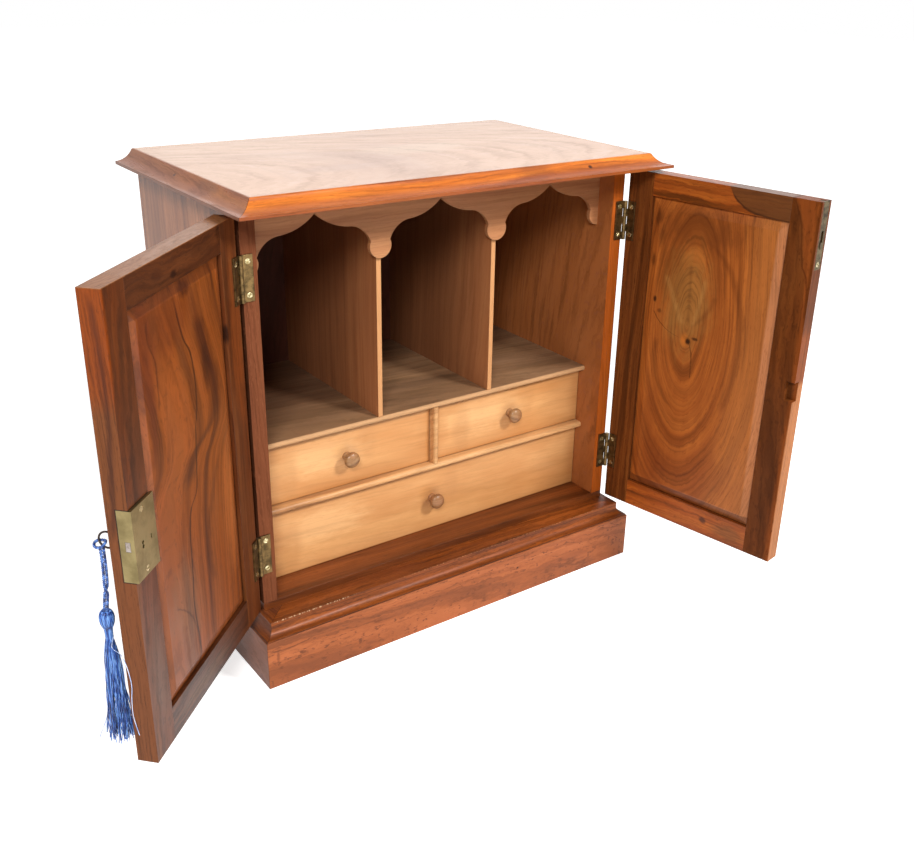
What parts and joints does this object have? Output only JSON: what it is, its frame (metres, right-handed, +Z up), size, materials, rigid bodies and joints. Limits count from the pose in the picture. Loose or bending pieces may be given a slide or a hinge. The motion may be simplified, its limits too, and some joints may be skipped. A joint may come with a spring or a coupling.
{
  "type": "table-top stationery cabinet",
  "caption": "Walnut table-top stationery box with panelled doors, cusped pigeonholes, knobbed drawers, a moulded top and plinth, and a key with a tassel.",
  "frame": {"origin": "middle of the foot of the plinth's front board, on the surface that the box stands on", "axes": "+Z up, -Y towards the front with the doors, +X to the right as seen from the front; the doors stand open as at rest"},
  "size_m": [0.5975, 0.3925, 0.412],
  "materials": {
    "carcase_walnut": "wax-polished walnut",
    "top_walnut": "wax-polished walnut, a little faded",
    "door_frame_walnut": "wax-polished walnut",
    "door_panel_walnut": "wax-polished striped walnut",
    "interior_wood": "thin polish",
    "frieze_wood": "thin polish",
    "drawer_wood": "thin polish",
    "knob_wood": "polished",
    "hinge_brass": "dull brass",
    "screw_brass": "dull brass",
    "lock_brass": "dull brass",
    "flush_bolt_brass": "tarnished brass",
    "bolt_iron": "dull",
    "key_steel": "dull",
    "tassel_thread": "matt cord and thread"
  },
  "bodies": {
    "cabinet": {"top_board": "top_walnut", "top_moulding": "carcase_walnut", "carcase_side_left": "carcase_walnut", "carcase_side_right": "carcase_walnut", "back_panel": "interior_wood", "base_board": "carcase_walnut", "plinth_front": "carcase_walnut", "plinth_left": "carcase_walnut", "plinth_right": "carcase_walnut", "plinth_back": "carcase_walnut", "plinth_moulding": "carcase_walnut", "arched_frieze": "frieze_wood", "shelf": "interior_wood", "partition_left": "interior_wood", "partition_right": "interior_wood", "drawer_rail": "interior_wood", "drawer_divider": "interior_wood", "left_hinge_jamb_leaves": "hinge_brass", "left_hinge_pins": "hinge_brass", "right_hinge_jamb_leaves": "hinge_brass", "right_hinge_pins": "hinge_brass", "hinge_jamb_screws": "screw_brass"},
    "left_door": {"left_door_hinge_stile": "door_frame_walnut", "left_door_closing_stile": "door_frame_walnut", "left_door_top_rail": "door_frame_walnut", "left_door_bottom_rail": "door_frame_walnut", "left_door_panel": "door_panel_walnut", "left_hinge_door_leaves": "hinge_brass", "left_hinge_door_screws": "screw_brass", "lock_case": "lock_brass", "lock_cap": "lock_brass", "lock_screws": "screw_brass", "key_escutcheon": "lock_brass", "tassel_cord": "tassel_thread", "tassel_head": "tassel_thread", "tassel_skirt": "tassel_thread"},
    "right_door": {"right_door_hinge_stile": "door_frame_walnut", "right_door_closing_stile": "door_frame_walnut", "right_door_top_rail": "door_frame_walnut", "right_door_bottom_rail": "door_frame_walnut", "right_door_panel": "door_panel_walnut", "right_hinge_door_leaves": "hinge_brass", "right_hinge_door_screws": "screw_brass", "flush_bolt_plate": "flush_bolt_brass", "flush_bolt_screw": "screw_brass"},
    "left_drawer": {"left_drawer_front": "drawer_wood", "left_drawer_box": "drawer_wood", "left_drawer_knob": "knob_wood"},
    "right_drawer": {"right_drawer_front": "drawer_wood", "right_drawer_box": "drawer_wood", "right_drawer_knob": "knob_wood"},
    "long_drawer": {"long_drawer_front": "drawer_wood", "long_drawer_box": "drawer_wood", "long_drawer_knob": "knob_wood"},
    "lock_bolt": {"lock_bolt": "bolt_iron"},
    "key": {"key": "key_steel", "tassel_loop": "tassel_thread"},
    "flush_bolt": {"flush_bolt_slide": "bolt_iron"}
  },
  "joints": [
    {"name": "left_door_swing", "type": "hinge", "parent": "cabinet", "child": "left_door", "pos_m": [-0.1914, 0.0168, 0.2], "axis": [0, 0, -1], "range_deg": [-136.7, 43.3]},
    {"name": "right_door_swing", "type": "hinge", "parent": "cabinet", "child": "right_door", "pos_m": [0.1914, 0.0168, 0.2], "axis": [0, 0, 1], "range_deg": [-100.3, 79.7]},
    {"name": "left_drawer_slide", "type": "slide", "parent": "cabinet", "child": "left_drawer", "axis": [0, -1, 0], "range_m": [0, 0.12]},
    {"name": "right_drawer_slide", "type": "slide", "parent": "cabinet", "child": "right_drawer", "axis": [0, -1, 0], "range_m": [0, 0.12]},
    {"name": "long_drawer_slide", "type": "slide", "parent": "cabinet", "child": "long_drawer", "axis": [0, -1, 0], "range_m": [0, 0.12]},
    {"name": "key_turn", "type": "hinge", "parent": "left_door", "child": "key", "pos_m": [-0.33016, -0.09885, 0.2265], "axis": [0.6858, -0.7278, 0], "range_deg": [0, 360]},
    {"name": "lock_bolt_throw", "type": "slide", "parent": "left_door", "child": "lock_bolt", "axis": [-0.7278, -0.6858, 0], "range_m": [0, 0.0065]},
    {"name": "flush_bolt_slide", "type": "slide", "parent": "right_door", "child": "flush_bolt", "axis": [0, 0, 1], "range_m": [0, 0.009]}
  ],
  "couplings": [
    {"joint": "key_turn", "follows": "lock_bolt_throw", "rad_per_m": 966.6}
  ]
}
